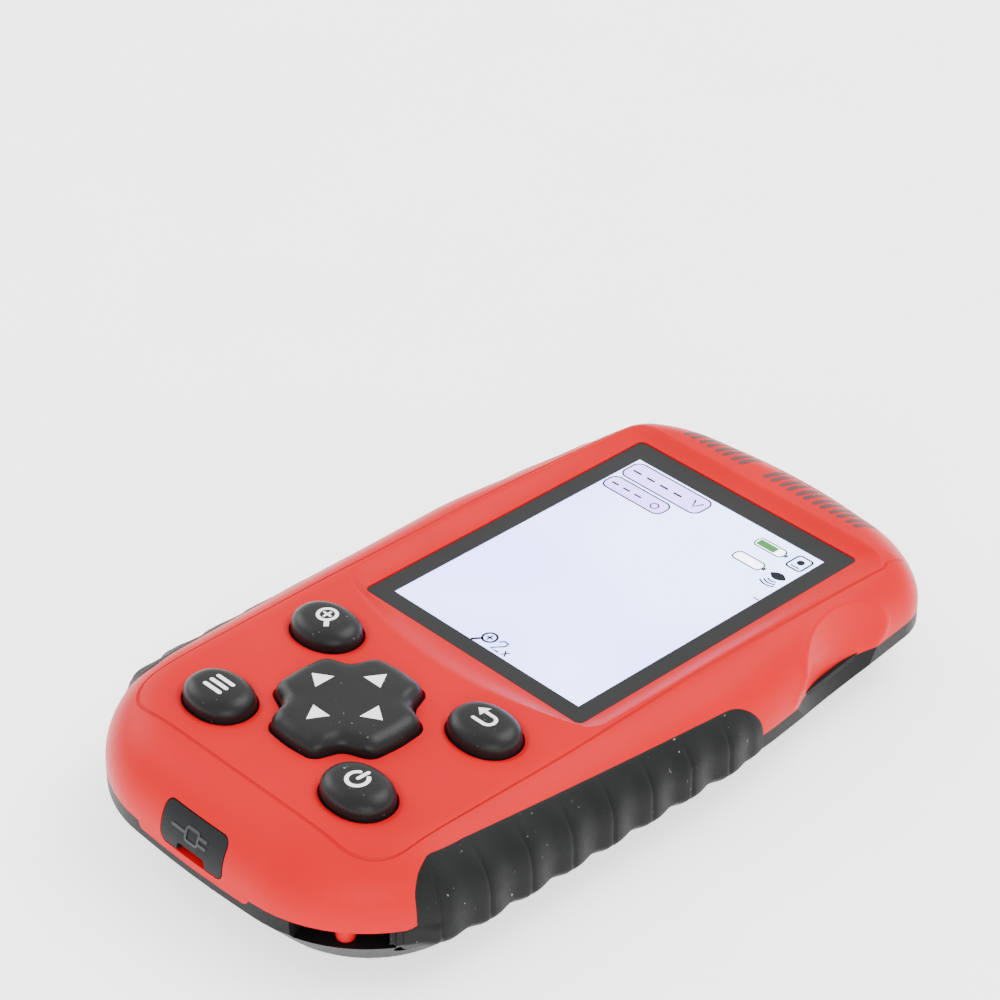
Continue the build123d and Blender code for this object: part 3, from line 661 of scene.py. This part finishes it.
def grip_proud(y, margin):
    """How far the grip stands out of the housing's skin: pads between ribs, each line with a groove."""
    rise = np.sqrt(np.clip(1 - (1 - np.clip(margin / GRIP_ROUND, 0, 1)) ** 2, 0, 1))
    phase = ((y - RIB_FIRST) / RIB_PITCH) % 1.0
    pad = np.where(phase < 0.6, 1 - smooth_step(0.12, 0.6, phase), smooth_step(0.60, 0.93, phase))
    line_gap = np.minimum(phase, 1 - phase) * RIB_PITCH
    fullness = smooth_step(0.3, 5.5, margin)
    groove = 0.5 * np.exp(-(line_gap / 0.25) ** 2) * fullness
    proud = GRIP_EDGE + rise * 0.6 + (0.25 + 0.85 * pad) * fullness - groove
    return np.where(margin > 0, proud, GRIP_EDGE)


def grip(side):
    """Ribbed rubber grip over the right side (1) or the left side (-1), as a closed sheet."""
    right = [i for i in range(len(PLAN)) if PLAN[i, 0] > 0 and -60.5 < PLAN[i, 1] - SHIFT < 17.5]
    right.sort(key=lambda i: PLAN[i, 1])
    fine = np.linspace(0, len(right) - 1, len(right) * 2 - 1)
    base = np.array([[np.interp(f, range(len(right)), PLAN[right, k]) for k in (0, 1)] for f in fine])
    out = np.array([[np.interp(f, range(len(right)), PLAN_OUT[right, k]) for k in (0, 1)] for f in fine])
    across = np.linspace(QUARTER * 0.30, QUARTER + 3.6 + 6.6, 74)
    outer, inner = [], []
    for run in across:
        depth, z, tilt = section_point(run)
        proud = grip_proud(base[:, 1], grip_margin(base[:, 1] - SHIFT, z))
        flat = base - out * depth
        for sheet, lift in ((outer, proud), (inner, np.full(len(base), GRIP_BACK))):
            sheet.append(np.c_[flat + out * (math.cos(tilt) * lift)[:, None], z + math.sin(tilt) * lift])
    rows, columns = len(across), len(base)
    half = rows * columns
    verts = np.concatenate(outer + inner)
    verts[:, 0] *= side
    faces = []
    for quad in grid_faces(rows, columns):
        faces += [quad, tuple(half + i for i in quad[::-1])]
    border = list(range(columns)) + [row * columns + columns - 1 for row in range(1, rows)]
    border += [(rows - 1) * columns + column for column in range(columns - 2, -1, -1)]
    border += [row * columns for row in range(rows - 2, 0, -1)]
    for a, b in zip(border, border[1:] + border[:1]):
        faces.append((a, b, b + half, a + half))
    return verts, faces


for name, node, side in (("ribbed_grip_right", "right_grip", 1), ("ribbed_grip_left", "left_grip", -1)):
    verts, faces = grip(side)
    make_piece(name, verts, faces, RUBBER, "housing", [node])


# ---- keys and pad -------------------------------------------------------------------------------------
PAD_INSET = 10.0                    # least distance from the pad's edge to its middle
CAP_EDGE = 2.8                      # rings lie closer together within this distance of a cap's edge


def dome_height(inset_depth, top, edge_drop=2.1, edge_width=2.6, crown=0.35, crown_width=5.5):
    """Height of a key's top by distance in from its edge: a round edge, then a slight crown."""
    edge = 1 - np.clip(inset_depth / edge_width, 0, 1)
    middle = 1 - np.clip(inset_depth / crown_width, 0, 1)
    return top - edge_drop * (1 - np.sqrt(np.clip(1 - edge ** 2.2, 0, 1))) - crown * middle ** 2


def eased(inset_depth, scale):
    """A distance in from the edge, shortened where the cap is longer, so that its rim stays even."""
    return inset_depth * (0.6 + 0.4 * scale)


def capped(outline_points, centre, top, low, smallest):
    """Domed cap over an outline: rings shrink towards the centre, and the middle is closed with a fan."""
    spoke = outline_points - centre
    reach = np.linalg.norm(spoke, axis=1)
    rings = [np.c_[outline_points, np.full(len(spoke), low)]]
    depths = np.r_[np.linspace(0, 1, 13)[:-1] ** 2 * CAP_EDGE, np.linspace(CAP_EDGE, smallest, 12)]
    for depth in depths:
        share = np.clip(1 - depth / smallest * 0.985, 0.015, 1)
        height = dome_height(eased(reach * (1 - share), smallest / reach), top)
        rings.append(np.c_[centre + spoke * share, height])
    count = len(spoke)
    verts = np.concatenate(rings + [np.array([[centre[0], centre[1], top]])])
    faces = ring_faces(len(rings), count)
    last = (len(rings) - 1) * count
    faces += [(last + i, last + (i + 1) % count, len(verts) - 1) for i in range(count)]
    faces.append(tuple(range(count))[::-1])
    return verts, faces


def key_top(place, x, y):
    """Height of a key's cap at a point, for the print on it."""
    spoke = np.hypot((x - place[0]) / KEY_HALF_X, (y - place[1]) / KEY_HALF_Y)
    reach = np.hypot(x - place[0], y - place[1])
    edge = np.where(spoke > 1e-6, reach / np.maximum(spoke, 1e-6), 6.0)
    return dome_height(eased(edge * (1 - spoke), KEY_HALF_Y / edge), KEY_TOP_Z)


for name, place in zip(KEYS, key_places()):
    outline = oval_points(place, KEY_HALF_X, KEY_HALF_Y)
    verts, faces = capped(outline, place, KEY_TOP_Z, KEY_LOW_Z, KEY_HALF_Y)
    sharpen(make_piece(name + "_cap", verts, faces, KEY_RUBBER, name, [name]), 60)

pad_centre = centre_of("dpad_cap")[:2]
verts, faces = capped(clover_points(0.0), pad_centre, PAD_TOP_Z, PAD_LOW_Z, PAD_INSET)
sharpen(make_piece("four_way_pad", verts, faces, KEY_RUBBER, "pad", ["dpad_cap"]), 60)


# ---- printed marks ------------------------------------------------------------------------------------
def ribbon(points, width, closed=False, caps=True):
    """A flat stroke of even width along a line of plan points, as small quads with rounded ends."""
    points = np.array(points, float)
    if closed:
        before, after = np.roll(points, 1, axis=0), np.roll(points, -1, axis=0)
    else:
        before = np.r_[points[:1], points[:-1]]
        after = np.r_[points[1:], points[-1:]]
    run = after - before
    run /= np.linalg.norm(run, axis=1)[:, None]
    side = np.c_[-run[:, 1], run[:, 0]] * width / 2
    if caps and not closed:
        made_p, made_s = [], []
        for share in (1.0, 0.87, 0.5):
            made_p.append(points[0] - run[0] * width / 2 * share)
            made_s.append(side[0] * math.sqrt(1 - share * share))
        made_p += list(points)
        made_s += list(side)
        for share in (0.5, 0.87, 1.0):
            made_p.append(points[-1] + run[-1] * width / 2 * share)
            made_s.append(side[-1] * math.sqrt(1 - share * share))
        points, side = np.array(made_p), np.array(made_s)
    flat = np.concatenate([points + side, points - side])
    count = len(points)
    steps = count if closed else count - 1
    return flat, [(i, (i + 1) % count, count + (i + 1) % count, count + i) for i in range(steps)]


def line(a, b, steps=8):
    return [(a[0] + (b[0] - a[0]) * s, a[1] + (b[1] - a[1]) * s) for s in np.linspace(0, 1, steps)]


def arc(centre, radius, start, end, steps=40):
    return [(centre[0] + radius * math.cos(math.radians(a)), centre[1] + radius * math.sin(math.radians(a)))
            for a in np.linspace(start, end, steps)]


def patch(points, rows=8):
    """A filled quadrilateral or triangle as a small grid, from four corners in order."""
    a, b, c, d = [np.array(p, float) for p in points]
    flat = [(a * (1 - u) + b * u) * (1 - v) + (d * (1 - u) + c * u) * v
            for v in np.linspace(0, 1, rows) for u in np.linspace(0, 1, rows)]
    return np.array(flat), grid_faces(rows, rows)


def printed(name, shapes, height, material, body, thick=0.06, lift=0.02):
    """Thin printed marks that follow a surface: height(x, y) gives the surface under them."""
    verts, faces = [], []
    for flat, quads in shapes:
        flat = np.array(flat, float)
        low = height(flat[:, 0], flat[:, 1]) - thick
        start, count = len(verts), len(flat)
        verts += [(x, y, z + thick + lift) for (x, y), z in zip(flat, low)]
        verts += [(x, y, z) for (x, y), z in zip(flat, low)]
        edges = {}
        for quad in quads:
            faces.append(tuple(start + i for i in quad))
            faces.append(tuple(start + count + i for i in quad[::-1]))
            edges.update(dict.fromkeys(zip(quad, quad[1:] + quad[:1])))
        for a, b in edges:
            if (b, a) not in edges:
                faces.append((start + a, start + b, start + count + b, start + count + a))
    return make_piece(name, verts, faces, material, body, smooth=False)


def key_marks():
    """Generic white symbols for the four keys, about each key's middle."""
    hub, plus, bar = (-0.15, 0.35), 0.75, 1.75
    bend = (line((-1.4, -1.15), (0.85, -1.15)) + arc((0.9, 0.0), 1.15, -90, 90, 30)
            + line((0.85, 1.15), (-0.9, 1.15)))
    return {
        "zoom_key": [ribbon(arc(hub, 1.55, 0, 360, 49)[:-1], 0.62, closed=True),
                     ribbon(line((hub[0] - plus, hub[1]), (hub[0] + plus, hub[1])), 0.42),
                     ribbon(line((hub[0], hub[1] - plus), (hub[0], hub[1] + plus)), 0.42),
                     ribbon(line((1.15, -0.95), (2.1, -1.9)), 0.85, caps=False)],
        "menu_key": [ribbon(line((-bar, y), (bar, y)), 0.72) for y in (-1.35, 0.0, 1.35)],
        "power_key": [ribbon(arc((0, 0), 1.7, 125, 415, 60), 0.68), ribbon(line((0, 0.1), (0, 2.2)), 0.68)],
        "escape_key": [ribbon(bend, 0.62), patch([(-2.6, 1.15), (-1.0, 2.35), (-1.0, 2.3), (-1.0, -0.05)])]}


for name, shapes in key_marks().items():
    place = centre_of(name)[:2]
    shapes = [(flat + place, quads) for flat, quads in shapes]
    printed(name + "_symbol", shapes, lambda x, y, p=place: key_top(p, x, y), LEGEND, name)


def pad_arrows():
    """A triangle on each of the pad's arms."""
    shapes = []
    for turn in range(4):
        turned = []
        for x, y in ((5.2, -1.95), (8.3, -0.03), (8.3, 0.03), (5.2, 1.95)):
            for _ in range(turn):
                x, y = -y, x
            turned.append((x + pad_centre[0], y + pad_centre[1]))
        shapes.append(patch(turned))
    return shapes


def pad_top(x, y):
    """Height of the pad's cap along its arms."""
    arm = 12.1
    reach = np.hypot(x - pad_centre[0], y - pad_centre[1])
    return dome_height(eased(arm - reach, PAD_INSET / arm), PAD_TOP_Z)


printed("pad_arrows", pad_arrows(), pad_top, LEGEND, "pad")


def skin_top(x, y):
    return face_height(x, y, depth_inside(x, y))


def title_ornament():
    """Pairs of slanted bars in two groups across the top end."""
    pitch, first, gap_at, low, high, lean = 3.78, -18.9, 4, 58.0 + SHIFT, 62.0 + SHIFT, 0.3
    shapes = []
    for i in [*range(gap_at), *range(gap_at + 1, 11)]:
        for step in (-0.85, 0.85):
            x = first + i * pitch + step
            shapes.append(ribbon(line((x - lean, low), (x + lean, high), 12), 1.05))
    return shapes


printed("title_bars", title_ornament(), skin_top, ORNAMENT, "housing")


def cover_mark():
    """Raised generic plug symbol on the port cover: a rounded body with a cord and two prongs."""
    z, half_x, half_z, prong_z, prong_x, cord_x = 15.9, 1.4, 1.1, 0.55, 3.2, -4.6
    corners = [(-half_x, z + half_z), (half_x, z + half_z), (half_x, z - half_z), (-half_x, z - half_z)]
    body = arc_outline(corners, [0.4] * 4, 0.25)
    strokes = [line((cord_x, z), (-half_x - 0.2, z))]
    strokes += [line((half_x + 0.2, z + side * prong_z), (prong_x, z + side * prong_z)) for side in (1, -1)]
    return [ribbon(stroke, 0.45) for stroke in strokes] + [ribbon(body, 0.42, closed=True)]


mark = printed("cover_symbol", cover_mark(), lambda x, z: -end_wall_y(x, z), EMBOSSED, "port_cover",
               thick=0.3, lift=0.14)
for vertex in mark.data.vertices:   # from the face's plan, stood up against the end wall
    x, z, out = vertex.co
    vertex.co = (x, -out, z)


# ---- display ------------------------------------------------------------------------------------------
def flat_at(z):
    return lambda x, y: np.full(len(x), z)


def box_corners(half_x, half_y, centre_y):
    return [(-half_x, centre_y - half_y), (half_x, centre_y - half_y), (half_x, centre_y + half_y),
            (-half_x, centre_y + half_y)]


def window_border():
    """The dark print round the screen, as four mitred patches."""
    o = box_corners(25.1, 32.45, WINDOW_Y)
    i = box_corners(SCREEN_HALF_X, SCREEN_HALF_Y, SCREEN_Y)
    return [patch([o[k], o[(k + 1) % 4], i[(k + 1) % 4], i[k]]) for k in range(4)]


def rounded(x0, y0, x1, y1, radius):
    return arc_outline([(x0, y1), (x1, y1), (x1, y0), (x0, y0)], [radius] * 4, 0.25)


def on_screen(points):
    """Screen points are measured from the lit area's top left corner, right and down."""
    return [(x - SCREEN_HALF_X, SCREEN_Y + SCREEN_HALF_Y - y) for x, y in points]


def filled(points):
    """A filled convex outline as a fan of thin quads from its middle."""
    points = np.array(points, float)
    middle = points.mean(axis=0)
    inner = middle + (points - middle) * 0.01
    count = len(points)
    return np.concatenate([points, inner]), [(i, (i + 1) % count, count + (i + 1) % count, count + i)
                                             for i in range(count)]


def screen_marks():
    """Outlined readout boxes, battery marks and icons, with dashes where readings would be."""
    white, pale, ink, green = [], [], [], []

    def stroke(points, width, **style):
        ink.append(ribbon(on_screen(points), width, **style))

    for x0, y0, x1, y1, radius in ((0.5, 0.6, 18.6, 5.6, 1.6), (0.5, 6.4, 14.3, 10.3, 1.5)):
        box = rounded(x0, y0, x1, y1, radius)
        pale.append(filled(on_screen(box)))
        stroke(box, 0.3, closed=True)
    for x, y, pitch, length, count, width in ((1.7, 3.2, 3.2, 1.9, 4, 0.42), (1.6, 8.4, 2.7, 1.6, 3, 0.38)):
        for i in range(count):
            stroke(line((x + pitch * i, y), (x + length + pitch * i, y)), width, caps=False)
    stroke([(15.6, 2.2), (16.5, 3.9), (17.4, 2.2)], 0.34)
    stroke(arc((11.9, 8.5), 0.75, 0, 360, 25)[:-1], 0.26, closed=True)
    # two batteries, the upper one with its charge
    for y, full in ((2.2, True), (7.6, False)):
        case = rounded(31.0, y, 37.2, y + 2.3, 0.9)
        white.append(filled(on_screen(case)))
        stroke(case, 0.26, closed=True)
        stroke(line((37.6, y + 0.75), (37.6, y + 1.55)), 0.45, caps=False)
        if full:
            green.append(filled(on_screen(rounded(31.4, y + 0.35, 35.4, y + 1.95, 0.2))))
    # a framed dot, and a float over its sound waves
    middle = 40.6
    stroke(rounded(39.0, 1.4, 42.2, 5.2, 0.7), 0.35, closed=True)
    ink.append(filled(on_screen(arc((middle, 3.0), 0.7, 0, 360, 25)[:-1])))
    stroke(line((39.8, 4.5), (41.4, 4.5)), 0.3)
    half = 1.7
    upper, lower = np.linspace(38.9, 42.3, 14), np.linspace(42.3, 38.9, 14)[1:-1]
    lens = [(x, 8.6 + side * (1 - ((x - middle) / half) ** 2))
            for side, xs in ((-1, upper), (1, lower)) for x in xs]
    ink.append(filled(on_screen(lens)))
    for radius in (1.5, 2.2, 2.9):
        stroke([(middle + radius * math.sin(math.radians(a)), 8.9 + radius * math.cos(math.radians(a)))
                for a in np.linspace(-32, 32, 12)], 0.3)
    # a magnifier and its factor, a 2 with a times sign
    stroke(arc((20.2, 55.0), 1.25, 0, 360, 25)[:-1], 0.42, closed=True)
    stroke(line((19.4, 56.0), (18.4, 57.3)), 0.5)
    stroke(line((19.6, 55.0), (20.8, 55.0)), 0.3)
    stroke(line((20.2, 54.4), (20.2, 55.6)), 0.3)
    stroke([(22.2, 54.7), (22.7, 54.0), (23.6, 54.1), (23.7, 54.9), (22.2, 56.8), (23.9, 56.8)], 0.34)
    stroke(line((24.7, 55.7), (25.5, 56.8)), 0.28)
    stroke(line((25.5, 55.7), (24.7, 56.8)), 0.28)
    stroke(line((41.8, 15.9), (43.0, 15.9)), 0.25, caps=False)
    return white, pale, ink, green


printed("window_border", window_border(), flat_at(20.72), BORDER, "housing", thick=0.25,
        lift=0.0)
lit = box_corners(SCREEN_HALF_X + 0.2, SCREEN_HALF_Y + 0.2, SCREEN_Y)
white, pale, ink, green = screen_marks()
for name, shapes, z, thick, material in (("screen_image", [patch(lit)], 20.55, 0.1, SCREEN),
                                         ("readout_boxes", pale, 20.56, 0.02, SCREEN_PALE),
                                         ("battery_outlines", white, 20.57, 0.02, SCREEN_WHITE),
                                         ("screen_symbols", ink, 20.60, 0.03, INK),
                                         ("battery_level", green, 20.585, 0.02, GREEN)):
    printed(name, shapes, flat_at(z), material, "housing", thick=thick, lift=0.0)

# ---- scene --------------------------------------------------------------------------------------------
add_camera()
floor = bpy.data.meshes.new("floor")
reach = 6.0                         # metres
floor.from_pydata([(-reach, -reach, 0), (reach, -reach, 0), (reach, reach, 0), (-reach, reach, 0)], [],
                  [(0, 1, 2, 3)])
floor_object = bpy.data.objects.new("floor", floor)
bpy.context.collection.objects.link(floor_object)
floor_material = glowing("floor", [(0.3, grey(0.93)), (0.7, grey(0.95))], 1.6)
floor.materials.append(floor_material)
world = bpy.data.worlds.new("world")
world.use_nodes = True
world.node_tree.nodes["Background"].inputs[0].default_value = (1, 1, 1, 1)
world.node_tree.nodes["Background"].inputs[1].default_value = 1.6
bpy.context.scene.world = world
add_light("key_light", (0.25, 0.55, 0.95), (0, 0, 0), (0.9, 0.7), 14.0)
add_light("near_light", (0.75, -0.75, 0.45), (0, 0, 0.01), (0.8, 0.5), 6.0)
add_light("left_light", (-0.9, -0.15, 0.5), (0, 0, 0.01), (0.6, 0.5), 5.0)
